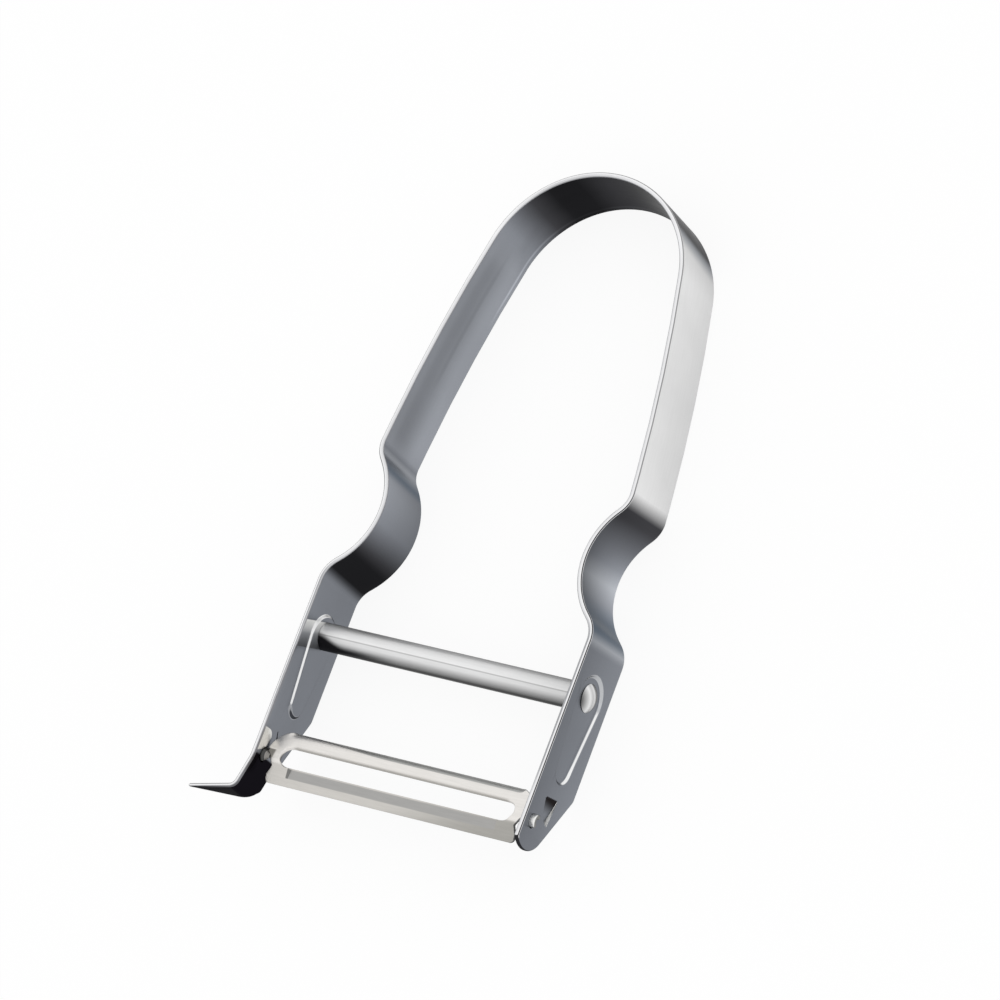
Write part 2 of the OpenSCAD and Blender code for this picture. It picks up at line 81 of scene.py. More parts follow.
def rounded(corners):
    """Points of a closed outline whose corners (a, b, radius) are rounded."""
    points = []
    for i, (a, b, r) in enumerate(corners):
        here = Vector((a, b))
        if not r:
            points.append(here)
            continue
        to_last = (Vector(corners[i - 1][:2]) - here).normalized()
        to_next = (Vector(corners[(i + 1) % len(corners)][:2]) - here).normalized()
        half = to_last.angle(to_next) / 2
        middle = here + (to_last + to_next).normalized() * r / sin(half)
        first, last = here + to_last * r / tan(half), here + to_next * r / tan(half)
        steps = max(2, ceil((pi - 2 * half) * r / 0.12))
        turn = (first - middle).angle_signed(last - middle)
        points += [middle + Matrix.Rotation(-turn * k / steps, 2) @ (first - middle) for k in range(steps + 1)]
    return points


def of_kind(geom, kind):
    return [g for g in geom if isinstance(g, kind)]


def cut(bm, place, way, clear=False):
    """Cuts right through a mesh, and can clear what lies beyond."""
    everything = bm.verts[:] + bm.edges[:] + bm.faces[:]
    bmesh.ops.bisect_plane(bm, geom=everything, plane_co=place, plane_no=way, clear_outer=clear)


def join(bm, part):
    """Moves all of one mesh into another."""
    spare = bpy.data.meshes.new("spare")
    part.to_mesh(spare)
    part.free()
    bm.from_mesh(spare)
    bpy.data.meshes.remove(spare)


def blank(outline, rim, half):
    """A flat plate over an outline, as thick above 0 as below it, its rims rounded in four rings."""
    bm = bmesh.new()
    flat = bm.faces.new([bm.verts.new((p[0], p[1], 0)) for p in outline])
    bm.normal_update()
    if flat.normal.z < 0:
        flat.normal_flip()
        bm.normal_update()
    pushed = bmesh.ops.extrude_face_region(bm, geom=[flat])
    flat = of_kind(pushed["geom"], bmesh.types.BMFace)[0]
    bmesh.ops.translate(bm, verts=flat.verts, vec=(0, 0, half - rim))
    bm.normal_update()
    turns = spread(0, pi / 2, 4)
    for a, b in zip(turns, turns[1:]):
        inset, rise = rim * (cos(a) - cos(b)), rim * (sin(b) - sin(a))
        bmesh.ops.inset_individual(bm, faces=[flat], thickness=inset, depth=rise, use_even_offset=True)
        bm.normal_update()
    low = [f for f in bm.faces if abs(f.normal.z) > 0.99 and max(abs(v.co.z) for v in f.verts) < 1e-5]
    bmesh.ops.delete(bm, geom=low, context="FACES_ONLY")
    bmesh.ops.mirror(bm, geom=bm.verts[:] + bm.edges[:] + bm.faces[:], axis="Z", merge_dist=1e-4)
    return bm


def loop(bm, points, h):
    """A closed loop at height h: its corners and its edges."""
    verts = [bm.verts.new((p[0], p[1], h)) for p in points]
    return verts, [bm.edges.new((a, b)) for a, b in zip(verts, verts[1:] + verts[:1])]


def open_flat(bm, h, outlines):
    """Fills the flat at height h again, round these outlines. Gives the loop that each one makes."""
    level = [f for f in bm.faces if all(abs(v.co.z - h) < 1e-4 for v in f.verts)]
    flat = max(level, key=lambda f: f.calc_area())
    border = flat.edges[:]
    bmesh.ops.delete(bm, geom=[flat], context="FACES_ONLY")
    made = [loop(bm, points, h) for points in outlines]
    edges = border + [e for verts, ring in made for e in ring]
    bmesh.ops.triangle_fill(bm, use_beauty=True, use_dissolve=False, edges=edges)
    return made


def boss_outline(grow):
    """The outline of the pressed boss, two round ends joined by the lines that touch both."""
    wide, slim, wide_at, slim_at = 3.85 + grow, 2.2 + grow, 20.8, 9.65
    lean = acos((wide - slim) / (wide_at - slim_at))
    round_top = arc(wide_at, mid_h, wide, -pi + lean, pi - lean, 40)
    return round_top + arc(slim_at, mid_h, slim, pi - lean, pi + lean, 20)


def press(bm, verts, way):
    """Closes a loop with a face and presses it inward, by six rings that run in and out smoothly."""
    face = bm.faces.new(verts)
    bm.normal_update()
    if face.normal.z * way < 0:
        face.normal_flip()
        bm.normal_update()
    depths = [t * t * (3 - 2 * t) * boss_depth * way for t in spread(0, 1, 6)]
    for a, b in zip(depths, depths[1:]):
        bmesh.ops.inset_individual(bm, faces=[face], thickness=0.11, depth=b - a, use_even_offset=True)
        bm.normal_update()


# the pivot hole, with the tip of the stop reaching into it from below, and the window that the stop is cut from
hole_r, tip_r, wedge, down = 1.16, 0.45, 0.86, -pi / 2 - tilt
pivot_hole = arc(0, pivot_z, tip_r, down + wedge, down - wedge, 8)
pivot_hole += arc(0, pivot_z, hole_r, down + 2 * pi - wedge, down + wedge, 40)
window = rounded([(4.37, 8.62, 0.05), (4.93, 4.78, 0.1), (0.55, 5.38, 0.2), (1.42, 7.55, 0.15)])
stop_corners = [(4.62, 8.5), (5.12, 4.9), (0.7, 5.5), (1.5, 7.4)]
fold_top, fold_low = Vector((4.4, 8.5, -half_t)), Vector((4.9, 4.9, -half_t))


def leg(outline):
    """One leg as a flat blank, over the distance from the pivot line and the height. Up is its inner side."""
    bm = blank(outline, rim_r, half_t)
    cut(bm, (joint_v, 0, 0), (1, 0, 0), clear=True)
    rings = {}
    for way, grow in ((1, 0.1), (-1, 0.35)):
        hole, opening, boss = open_flat(bm, way * half_t, [pivot_hole, window, boss_outline(grow)])
        rings[way] = hole[1], opening[1]
        press(bm, boss[0], way)
    for a, b in zip(rings[1], rings[-1]):
        bmesh.ops.bridge_loops(bm, edges=a + b)
    # the stop, folded inward out of its window
    stop = bmesh.new()
    face = stop.faces.new([stop.verts.new((a, b, -half_t)) for a, b in stop_corners])
    pushed = bmesh.ops.extrude_face_region(stop, geom=[face], use_keep_orig=True)
    fresh = of_kind(pushed["geom"], bmesh.types.BMVert)
    bmesh.ops.translate(stop, verts=fresh, vec=(0, 0, 2 * half_t))
    bmesh.ops.recalc_face_normals(stop, faces=stop.faces)
    bmesh.ops.bevel(
        stop, geom=stop.edges[:], offset=0.09, segments=2, profile=0.5, material=-1, affect="EDGES",
        clamp_overlap=True,
    )
    folded = Matrix.Rotation(radians(-8), 3, (fold_low - fold_top).normalized())
    bmesh.ops.rotate(stop, verts=stop.verts, cent=fold_top, matrix=folded)
    join(bm, stop)
    return bm


def bend_leg(bm, sign, bends):
    """Stands a leg up beside the bow and bends its end outward.

    Each bend is (where it starts, radius, turn), the start as a distance above the pivot line.
    """
    for start, radius, turn in bends:
        pieces = int(degrees(turn) / 4) + 1
        for at in spread(start, start - radius * turn, pieces):
            cut(bm, (at, 0, 0), (1, 0, 0))
    for v in bm.verts:
        along, height, off = v.co
        at, lean = max(along, bends[0][0]) if bends else along, 0.0
        place = Vector((leg_x, at))
        for start, radius, turn in bends:
            run = max(min(at - start, at - along), 0)
            place += Vector((sin(lean), -cos(lean))) * run
            at -= run
            part = min(max((at - along) / radius, 0), turn)
            middle = place + Vector((cos(lean), sin(lean))) * radius
            lean += part
            place = middle - Vector((cos(lean), sin(lean))) * radius
            at -= part * radius
        place += Vector((sin(lean), -cos(lean))) * max(at - along, 0)
        place -= Vector((cos(lean), sin(lean))) * off
        v.co = (place.x * sign, place.y, height)


# the bow from above the right leg to above the left one, as (length, 0) or (radius, turn in degrees)
half_way = [
    (1.9, 0), (4.8, 45.9), (0.8, 0), (12.3, -84.1), (0.8, 0), (4.2, 43.8), (3.1, 0), (269, 7.0), (17.6, 42.4),
]
crown = (16.745, 70)
bow = bmesh.new()
section = arc(rim_r, half_t - rim_r, rim_r, pi / 2, pi, 4)
section += [(0, 0)] + [(a, -b) for a, b in reversed(section)]
section += [(strip_w - a, b) for a, b in reversed(section)]
verts = [bow.verts.new((leg_x - b, joint_v, a)) for a, b in section]
moving = [bow.edges.new((a, b)) for a, b in zip(verts, verts[1:] + verts[:1])]
place, heading = Vector((leg_x, joint_v)), pi / 2
for size, turn in half_way + [crown] + half_way[::-1]:
    ahead = Vector((cos(heading), sin(heading)))
    if turn == 0:
        pushed = bmesh.ops.extrude_edge_only(bow, edges=moving)
        fresh = of_kind(pushed["geom"], bmesh.types.BMVert)
        bmesh.ops.translate(bow, verts=fresh, vec=(ahead.x * size, ahead.y * size, 0))
        moving = of_kind(pushed["geom"], bmesh.types.BMEdge)
        place = place + ahead * size
    else:
        side = 1 if turn > 0 else -1
        middle = place + Vector((-ahead.y, ahead.x)) * size * side
        pushed = bmesh.ops.spin(
            bow, geom=moving, cent=(middle.x, middle.y, 0), axis=(0, 0, 1), angle=radians(turn),
            steps=max(4, ceil(abs(turn) / 2.5)), use_merge=False, use_duplicate=False,
        )
        moving = of_kind(pushed["geom_last"], bmesh.types.BMEdge)
        place = middle + Matrix.Rotation(radians(turn), 2) @ (place - middle)
        heading += radians(turn)

# the legs' outlines, which start past the joint and are cut off there
past = 30
right_outline = [(past, 0, 0), (6.6, 0, 1.2)]
right_outline += [(a, b, 0) for a, b in arc(0.3585, 9.35, 4.8, radians(239), radians(139), 44)]
right_outline[-1] = (right_outline[-1][0], strip_w, 0.35)
right_outline += [(past, strip_w, 0)]
left_outline = [
    (past, 0, 0), (9, 0, 1.5), (-2.826, 5.5, 1.2), (-4.87, 5.5, 0.9), (-5.457, 6.2, 0.3), (-7.153, 8.0, 2.0),
    (-13.953, 12.0, 0.2), (-13.953, strip_w, 0.2), (past, strip_w, 0),
]
tongue_bends = [(-0.4, 6.0, radians(12)), (-5.457, 1.5, radians(64.8))]
for outline, sign, bends in ((right_outline, 1, []), (left_outline, -1, tongue_bends)):
    one = leg(rounded(outline))
    if sign < 0:
        # the eye remover's under side is ground thin towards its point
        grind_from, grind_run = -9.453, 4.5
        for v in one.verts:
            if v.co.x < grind_from and v.co.z > 0:
                v.co.z *= 1 - 0.875 * (grind_from - v.co.x) / grind_run
    bend_leg(one, sign, bends)
    join(bow, one)
bmesh.ops.remove_doubles(bow, verts=bow.verts, dist=0.003)


def hexed(text):
    """A colour from six hexadecimal digits, as Blender reckons it."""
    parts = [int(text[i : i + 2], 16) / 255 for i in (0, 2, 4)]
    return [c / 12.92 if c < 0.04045 else ((c + 0.055) / 1.055) ** 2.4 for c in parts] + [1]


def add_node(tree, kind, settings, values):
    """Adds a node of one type, with its settings, then the values or links of its sockets."""
    made = tree.nodes.new("ShaderNode" + kind)
    for name, setting in settings.items():
        if name == "stops":
            marks = made.color_ramp.elements
            while len(marks) < len(setting):
                marks.new(0.5)
            for mark, (place, colour) in zip(marks, setting):
                mark.position = place
            for mark, (place, colour) in zip(marks, setting):
                mark.color = hexed(colour)
        else:
            setattr(made, name, setting)
    for socket, value in values.items():
        if isinstance(value, Sock):
            tree.links.new(value.out, made.inputs[socket])
        else:
            made.inputs[socket].default_value = hexed(value) if isinstance(value, str) else value
    return made


def maths(kind, *values):
    """A Math node on numbers and sockets, at least one of them a socket."""
    tree = next(value.tree for value in values if isinstance(value, Sock))
    return Sock(tree, add_node(tree, "Math", {"operation": kind}, dict(enumerate(values))).outputs[0])


class Sock:
    """A socket that can be reckoned with, so that a material reads as the formula it is."""

    def __init__(self, tree, out):
        self.tree, self.out = tree, out

    def __add__(self, other):
        return maths("ADD", self, other)

    def __sub__(self, other):
        return maths("SUBTRACT", self, other)

    def __rsub__(self, other):
        return maths("SUBTRACT", other, self)

    def __mul__(self, other):
        return maths("MULTIPLY", self, other)

    def __truediv__(self, other):
        return maths("DIVIDE", self, other)

    def __rtruediv__(self, other):
        return maths("DIVIDE", other, self)

    def __pow__(self, other):
        return maths("POWER", self, other)

    def __abs__(self):
        return maths("ABSOLUTE", self)

    def __neg__(self):
        return self * -1.0

    __radd__, __rmul__ = __add__, __mul__

    def step(self, low, high, a=0.0, b=1.0):
        """Runs smoothly from a to b as this goes from low to high."""
        values = {"Value": self, "From Min": low, "From Max": high, "To Min": a, "To Max": b}
        made = add_node(self.tree, "MapRange", {"interpolation_type": "SMOOTHSTEP"}, values)
        return Sock(self.tree, made.outputs["Result"])

    def fade(self, low, high):
        """Runs smoothly from 1 to 0 as this goes from low to high."""
        return self.step(low, high, 1.0, 0.0)

    def within(self, out_low, in_low, in_high, out_high):
        """1 between the inner two marks, and smoothly down to 0 at the outer two."""
        return self.step(out_low, in_low) * self.fade(in_high, out_high)

    def ramp(self, stops):
        """Colours by this value: stops are (value, hexadecimal colour)."""
        made = add_node(self.tree, "ValToRGB", {"stops": stops}, {0: self})
        return Sock(self.tree, made.outputs[0])

    def mix(self, other, share):
        """This colour, changed to the other by a share."""
        made = add_node(self.tree, "Mix", {"data_type": "RGBA"}, {0: share, 6: self, 7: other})
        return Sock(self.tree, made.outputs[2])

    def times(self, share):
        """This colour, made lighter or darker by a factor."""
        made = add_node(self.tree, "VectorMath", {"operation": "SCALE"}, {0: self, "Scale": share})
        return Sock(self.tree, made.outputs[0])


def metal(name, roughness):
    """A bare metal shader, with sockets for the place on the object and the direction of the surface."""
    material = bpy.data.materials.new(name)
    material.use_nodes = True
    tree = material.node_tree
    shader = tree.nodes["Principled BSDF"]
    shader.inputs["Metallic"].default_value = 1
    shader.inputs["Roughness"].default_value = roughness
    shader.inputs["Specular Tint"].default_value = (0.5, 0.5, 0.5, 1)
    coordinates = add_node(tree, "TexCoord", {}, {}).outputs
    where, facing = Sock(tree, coordinates["Object"]), Sock(tree, coordinates["Normal"])
    xyz = [Sock(tree, out) * 1000 for out in add_node(tree, "SeparateXYZ", {}, {0: where}).outputs]
    normal = [Sock(tree, out) for out in add_node(tree, "SeparateXYZ", {}, {0: facing}).outputs]
    return material, tree, shader, where, xyz, normal


def noise(tree, where, scale, squeeze):
    """A noise from 0 to 1 over the object, with cells of 1/scale metres, finer by squeeze along each axis."""
    squeezed = Sock(tree, add_node(tree, "Mapping", {}, {"Vector": where, "Scale": squeeze}).outputs[0])
    made = add_node(tree, "TexNoise", {}, {"Vector": squeezed, "Scale": scale, "Detail": 3})
    return Sock(tree, made.outputs[0])


def bump(tree, shader, height, strength):
    """Lets a height of 0.02 mm at most stand out in the light."""
    made = add_node(tree, "Bump", {}, {"Strength": strength, "Distance": 0.00002, "Height": height})
    tree.links.new(made.outputs[0], shader.inputs["Normal"])


# Its steel. Rolled stainless, with reflections painted into its tone by what each stretch of the bow mirrors:
# dark in the knees, the shoulders and the crown, light on the arms' outer faces. The sheared rims carry painted
# highlights, near white, with one painted dark line.
strip_steel, tree, shader, where, (x, y, z), (nx, ny, nz) = metal("strip steel", 0.3)
across, above, high = x - bow_x, y - pivot_y, z - mid_h
outward = maths("GREATER_THAN", nx * across, 0.0)
inward = 1 - outward
left_inner = inward * across.fade(-1, 1)

# seven tones for painted reflections, of what bare steel mirrors, from a dark room to a white table
steel = {
    "dark": "1e1e20", "shade": "3a3a3d", "cool": "606a76", "mid": "777a80", "pale": "878a90", "light": "9a9da2",
    "bright": "d8d8d8",
}


def by_height(h, stops):
    """Painted reflection tones by the height above the pivot line, from 10 mm below it to 110 above."""
    return ((h + 10) / 120).ramp([((mark + 10) / 120, steel[tone]) for mark, tone in stops])


# painted reflections on the inner faces: leg, knee, waist, shoulder, arm and crown, in turn
inner = by_height(
    above,
    (
        (15, "mid"), (29.2, "mid"),
        (30.6, "dark"), (33.8, "dark"), (35.2, "shade"),
        (39.4, "mid"), (45, "pale"), (46.6, "pale"),
        (48, "cool"), (50.3, "light"), (51.4, "mid"),
        (52.4, "pale"), (86, "pale"),
        (90.5, "mid"), (95, "shade"), (97.4, "dark"), (99.8, "dark"), (101.6, "shade"),
    ),
)
inner_gain, outer_gain = 1.24, 1.26
# more painted reflection on the inner faces: a darker streak along the middle of the arms and crown, lighter and
# darker across the width on the shoulders and arms, a light line near the lower edge high on the bow, and
# lighter towards the top between the knees and the shoulders
dark_reflection_streak = z.within(5.9, 6.6, 6.7, 7.6) * above.step(62, 68) * -0.1
over_width = z.step(2.5, 9.0, 0.16, -0.24) + z.step(9.5, 11.5, 0.0, 0.12)
inner = inner.times((over_width + dark_reflection_streak) * above.within(50, 55, 82, 91) + 1.0)
light_reflection_line = z.within(0.85, 1.1, 1.3, 1.6) * above.step(76, 84) * across.fade(6, 12)
inner = inner.times(light_reflection_line * 0.45 + 1.0)
inner = inner.times((high * above.within(33, 36, 46, 49) * 0.04 + 1.0) * inner_gain)
# painted reflections on the outer faces, by height, their borders leaning across the width, then lighter or
# darker across the width
outer = by_height(
    above + high * (above.step(55, 65, 0.1, 0.0) + above.step(85, 90, 0.0, -0.12)),
    (
        (20, "mid"), (28.2, "mid"),
        (29.4, "light"), (31, "cool"), (33.6, "cool"),
        (36.6, "pale"), (39.6, "light"), (42.6, "mid"),
        (49.2, "shade"), (50.6, "shade"),
        (53.2, "bright"), (92, "bright"),
        (94.2, "light"), (95.5, "shade"), (101.6, "shade"),
    ),
)
slope = above.step(49, 53, -0.03, 0.013) - above.within(32, 36, 42, 47) * 0.05
outer = outer.times((high * slope + 1.0) * outer_gain)
tone = inner.mix(outer, outward)

# painted reflections of what the left leg mirrors: the crossbar, the blade's round corner and, below the pivot,
# the dark
band = (above - bar_y + high * 0.296) / 4.6 + 0.5
mirrored = band.ramp(((0.0, "404144"), (0.5, "909296"), (1.0, "f0f0ee")))
near_bar = band.within(0, 0.03, 0.97, 1.0) * z.step(6.0, 7.0)
tone = tone.mix(mirrored, near_bar * left_inner)
past_end, below_end = maths("MAXIMUM", above - 2.7, 0.0), maths("MAXIMUM", 10.9 - z, 0.0)
round_end = maths("SQRT", past_end ** 2 + below_end ** 2)
corner_low = (z + above * 0.36 - 10.75).step(-0.12, 0.12) * (z + above * 1.86 - 12.2).step(-0.2, 0.2)
tone = tone.mix("efeeea", corner_low * round_end.fade(1.15, 1.3) * left_inner)
tone = tone.mix("17151a", above.fade(-0.5, -0.1) * left_inner)

# painted highlights and shade on the slopes of the pressed bosses, by the way each slope faces
on_boss = above.within(6.5, 7.0, 25.5, 26.0) * z.within(1.9, 2.2, 10.4, 10.7)
near_head = outward * above.step(19.8, 21.4)
dim_slope = ny * (outward * 2.0 - 1.0)
lit_slope = nz * 0.9 + ny * (0.8 - outward * above.step(9, 12, 0.5, 1.6))
tone = tone.mix("a4a6aa", nz.fade(-0.35, -0.12) * on_boss * outward * 0.55)
tone = tone.mix("a8aaae", dim_slope.step(0.12, 0.2) * inward * on_boss)
tone = tone.mix("3f4146", dim_slope.step(0.35, 0.5) * on_boss * (1 - outward * 0.7))
tone = tone.mix("f4f4f4", lit_slope.step(0.36, 0.5) * on_boss * (1 - near_head))
tone = tone.mix("c6c8cb", lit_slope.step(0.42, 0.56) * on_boss * near_head)
tone = tone.mix("bcbec1", ny.fade(-0.25, -0.12) * on_boss * near_head)

# painted shade on the walls of the window and the pivot hole and on the folded stop, and a painted highlight on
# the window's wall that looks up
on_stop = above.within(-0.2, 0.2, 5.0, 5.2) * z.within(4.5, 4.7, 8.9, 9.1)
on_hole = above.within(-1.3, -1.2, 1.2, 1.3) * z.within(8.5, 8.6, 11.2, 11.3)
steep = abs(nx).fade(0.5, 0.7)
wall = steep * on_stop * across.step(-1, 1)
sheared = wall * nz.step(0.3, 0.5)
tone = tone.mix("2a2a2c", wall).mix("f4f4f2", sheared).mix("151516", steep * on_hole)
tilted = (nz * nz + ny * ny).step(0.004, 0.012)
tone = tone.mix("262323", tilted * on_stop * outward * above.step(2.0, 4.4))
# less metallic under the painted highlight on that wall and under the painted crossbar reflection, so that these
# painted tones show
bare = (1 - sheared) * (1 - near_bar * left_inner * 0.8)
tree.links.new(bare.out, shader.inputs["Metallic"])

# painted highlights and shade on the rims: light and dark lines by the way each rim faces, painted shade on the
# lower rim, and painted shade on the slanted end of the right leg
outer_rim = nz.ramp(((0.2, "dededf"), (0.42, "dededf"), (0.52, "222225"), (0.86, "222225"), (0.94, "f0f0f1")))
outer_rim = outer_rim.mix("c4c4c5", above.step(50, 54, 0.0, 0.5) * nz.step(0.94, 0.9))
inner_rim = nz.ramp(((0.2, "8e8e92"), (0.6, "aeaeb1"), (0.85, "cecfd0"), (0.97, "e2e2e4")))
inner_rim = inner_rim.mix("a6a7aa", above.within(3, 9, 28, 34) * nz.step(0.8, 0.97))
tone = tone.mix(inner_rim.mix(outer_rim, outward), nz.step(0.06, 0.2) * z.step(11.9, 12.05))
tone = tone.mix("4c4d51", nz.fade(-0.6, -0.15) * z.fade(0.45, 0.6))
tone = tone.mix("2e2e31", ny.fade(-0.7, -0.3) * above.fade(0.5, 1.5) * across.step(-1, 1))

# the rolled grain, and faint clouds that are stronger inside the crown
grain = noise(tree, where, 220, (1, 1, 14))
cloud = noise(tree, where, 60, (1, 1, 1))
patches = cloud.step(0.3, 0.7, -1.0, 1.0) * (above.step(84, 90) * inward * 0.12 + 0.04) + 1.0
tone = tone.times(grain.step(0.25, 0.75, 0.98, 1.02) * patches)
tree.links.new(tone.out, shader.inputs["Base Color"])
tree.links.new(grain.step(0.3, 0.7, 0.28, 0.34).out, shader.inputs["Roughness"])
bump(tree, shader, grain, 0.05)


def piece(bm, name, body, node, material, smooth=32, weight=100):
    """Puts a mesh drawn in millimetres into the shared frame, and onto the body whose solid it replaces."""
    bmesh.ops.recalc_face_normals(bm, faces=bm.faces)
    bmesh.ops.translate(bm, verts=bm.verts, vec=(bow_x, pivot_y, 0))
    bmesh.ops.scale(bm, verts=bm.verts, vec=(0.001, 0.001, 0.001))
    mesh = bpy.data.meshes.new(name)
    bm.to_mesh(mesh)
    bm.free()
    mesh.materials.append(material)
    mesh.shade_smooth()
    mesh.set_sharp_from_angle(angle=radians(smooth))
    made = bpy.data.objects.new(name, mesh)
    bpy.context.scene.collection.objects.link(made)
    flat = made.modifiers.new("flats stay flat", "WEIGHTED_NORMAL")
    flat.keep_sharp, flat.weight = True, weight
    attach(made, body)
    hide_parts(node)
    return made


piece(bow, "strip", "frame", "frame", strip_steel)


# Blade. One stamping of steel sheet, with a long slot: its cutting edge is ground in front of the slot,
# its guard is curled behind it, and a half-round tang at each end turns in a leg's hole. Here it is a flat blank
# over its length and its folded section, which is slotted, ground, folded along its crease and curled.
half_b, blade_rim, slot_rim = 0.35, 0.16, 0.12  # half the thickness, and the rounding of outline and slot
crease_y, back_lean, front_lean = -0.4063, 15, 13  # the crease, and how many degrees each side falls from it
slot_low, slot_top, slot_end, slot_r = -1.04, 2.2, 20.7, 1.62
crease_half, curl_from, curl_run, curl_turn = 0.25, 4.002, 1.614, radians(50)
ground_to, ground_end, ground_fade = -2.68, 18.25, 0.35


def blade_u(y):
    """The distance from the crease, measured along the sheet, of a place y seen from above."""
    return (y - crease_y) / cos(radians(back_lean if y > crease_y else front_lean))


corner = [(a, b, 0) for a, b in arc(19.5, 1.0, 3.9, 0, pi / 2, 22)]
side = [(22.2, -3.9, 0.8), (22.2, -2.6, 0.25), (21.6, -1.25, 0.3), (22.5, 0.15, 0.25), (23.4, 0.15, 0.1)]
half_outline = [(a, blade_u(b), r) for a, b, r in side + corner]
blade_outline = rounded(half_outline + [(-a, b, r) for a, b, r in reversed(half_outline)])
blade_bm = blank(blade_outline, blade_rim, half_b)


def slot(grow):
    """The slot's outline, larger all round by grow."""
    low, top = blade_u(slot_low) - grow, blade_u(slot_top) + grow
    r, middle, reach = (top - low) / 2, (top + low) / 2, slot_end - slot_r
    points = arc(reach, middle, r, -pi / 2, pi / 2, 20)
    return points + [(-a, b) for a, b in reversed(points)]


rims = {}
for way in (1, -1):
    outline = slot(slot_rim)
    verts, edges = open_flat(blade_bm, way * half_b, [outline])[0]
    for a in spread(0, pi / 2, 3)[1:]:
        pushed = bmesh.ops.extrude_edge_only(blade_bm, edges=edges)
        edges = of_kind(pushed["geom"], bmesh.types.BMEdge)
        narrower = slot(slot_rim * (1 - sin(a)))
        for v in of_kind(pushed["geom"], bmesh.types.BMVert):
            near = min(range(len(outline)), key=lambda i: (v.co.xy - Vector(outline[i])).length)
            v.co = (*narrower[near], way * (half_b - slot_rim + slot_rim * cos(a)))
        outline = narrower
    rims[way] = edges
bmesh.ops.bridge_loops(blade_bm, edges=rims[1] + rims[-1])

# cuts where the sheet is to bend: over the crease, at the ground edge and over the curl, then near both ends
over_crease, over_curl = spread(-crease_half, crease_half, 5), spread(curl_from, curl_from + curl_run, 8)[:-1]
for u in over_crease + [blade_u(ground_to)] + over_curl:
    cut(blade_bm, (0, u, 0), (0, 1, 0))
for sign in (-1, 1):
    for a in (ground_end, ground_end + ground_fade, 19.9, 20.1, 20.3, 20.5, 20.7, 20.9, 21.1, 21.3):
        cut(blade_bm, (a * sign, 0, 0), (1, 0, 0))


def advance(place, lean, turn, length):
    """The end of a stretch of the section that starts at place, leaning back by lean and turning by turn."""
    if abs(turn) < 1e-4:
        return place + Vector((cos(lean), -sin(lean))) * length, lean
    r = length / turn
    return place + Vector((sin(lean + turn) - sin(lean), cos(lean + turn) - cos(lean))) * r, lean + turn


u_edge, u_ground = blade_u(slot_low), blade_u(ground_to)
crease_turn = radians(back_lean + front_lean)
for v in blade_bm.verts:
    a, u, off = v.co
    if u_ground - 0.01 < u < u_edge + 0.2:
        worn = max((u_edge - u) / (u_edge - u_ground), (abs(a) - ground_end) / ground_fade)
        off = min(off, -0.28 + 0.63 * worn)
    lean = radians(-front_lean)
    start = Vector((crease_y, -0.0107)) - Vector((cos(lean), -sin(lean))) * crease_half
    if u < -crease_half:
        place = start + Vector((cos(lean), -sin(lean))) * (u + crease_half)
    else:
        share = min((u + crease_half) / (2 * crease_half), 1)
        place, lean = advance(start, lean, crease_turn * share, 2 * crease_half * share)
        if u > crease_half:
            place, lean = advance(place, lean, 0, min(u, curl_from) - crease_half)
        if u > curl_from:
            t = min(max((21.3 - abs(a)) / 1.4, 0), 1)
            turn = curl_turn * t * t * (3 - 2 * t)
            place, lean = advance(place, lean, turn * (u - curl_from) / curl_run, u - curl_from)
    place += Vector((sin(lean), cos(lean))) * off
    v.co = (a, place.x, place.y + pivot_z)

# the two half-round tangs, which grow out of the sheet by a cone: (X, distance from the pivot line, rounding)
tang_profile = [
    (22.4, 0.03, 0), (22.4, 0.35, 0), (23.3, 1.1, 0.3), (25.25, 1.1, 0.22), (25.25, 0.4, 0.15),
    (23.5, 0.4, 0.2), (23.3, 0.03, 0),
]
low = Vector((0, -cos(tilt), sin(tilt)))
for sign in (1, -1):
    tang = bmesh.new()
    face = tang.faces.new([tang.verts.new((a * sign, low.y * r, low.z * r)) for a, r in rounded(tang_profile)])
    bmesh.ops.spin(
        tang, geom=[face], cent=(0, 0, 0), axis=(-1, 0, 0), angle=pi, steps=32, use_merge=False,
        use_duplicate=False,
    )
    bmesh.ops.translate(tang, verts=tang.verts, vec=(0, 0, pivot_z))
    bmesh.ops.holes_fill(tang, edges=[e for e in tang.edges if len(e.link_faces) == 1], sides=0)
    bmesh.ops.recalc_face_normals(tang, faces=tang.faces)
    join(blade_bm, tang)

# Its steel. Warmer and paler than the strip, with light and shade painted into its tone: the guard side lighter
# than the cutting side, which is darker to the right; its ground bevel is matt grey, with painted shade on its
# left end; the curled back of the guard has painted shade and, towards the left, a painted highlight; and the
# tangs, their roots and the faces that look down have painted shade, the right tang's top a painted highlight.
blade_steel, tree, shader, where, (x, y, z), (nx, ny, nz) = metal("blade steel", 0.35)
across, along = x - bow_x, y - pivot_y
from_middle = abs(across)
# painted light: the guard side lighter than the cutting side, and painted shade along the guard's lower edge by
# the slot
tone = along.step(-1.0, -0.6).ramp(((0.0, "cdcac5"), (1.0, "e8e5e1")))
tone = tone.mix("bab7b2", along.within(2.0, 2.1, 2.2, 2.7) * from_middle.fade(18.5, 19.5))
# the cutting side darker to the right
tone = tone.mix("a8a6a1", (across * 0.045 - along * 0.12).step(0.2, 1.2) * along.fade(-1.2, -0.6))
# the ground bevel matt grey, and painted shade on its left end
ground = along.within(-2.8, -2.6, -1.3, -1.1)
tone = tone.mix("a8a7a5", ground * from_middle.fade(18.3, 18.6))
tone = tone.mix("7c7c7a", ground * across.within(-18.7, -18.6, -18.3, -18.2))
